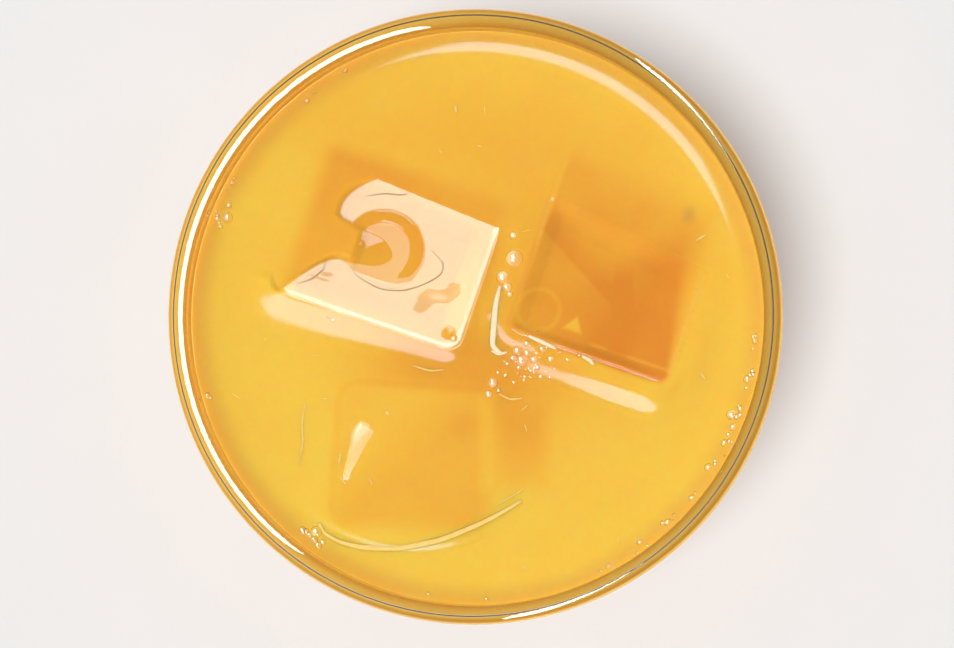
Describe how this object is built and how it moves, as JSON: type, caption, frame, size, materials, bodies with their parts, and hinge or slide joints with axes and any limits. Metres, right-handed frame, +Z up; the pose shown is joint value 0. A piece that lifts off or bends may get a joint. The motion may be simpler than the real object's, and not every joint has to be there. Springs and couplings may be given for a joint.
{
  "type": "glass of orange juice",
  "caption": "Straight-sided clear tumbler filled with orange juice, with ice cubes floating at the surface and bubbles along the edge.",
  "frame": {"origin": "centre of the foot, in the plane that the glass stands on", "axes": "+Z up along the axis of the glass, +X to the right and +Y to the back as seen from the front"},
  "size_m": [0.085, 0.0848, 0.092],
  "materials": {
    "clear_glass": "clear polished tumbler glass",
    "orange_juice": "cloudy orange juice with a wet, glossy surface",
    "ice": "clear wet ice"
  },
  "bodies": {
    "root": {"glass": "clear_glass", "juice": "orange_juice", "ice_left": "ice", "ice_right": "ice", "ice_front": "ice"}
  },
  "joints": []
}
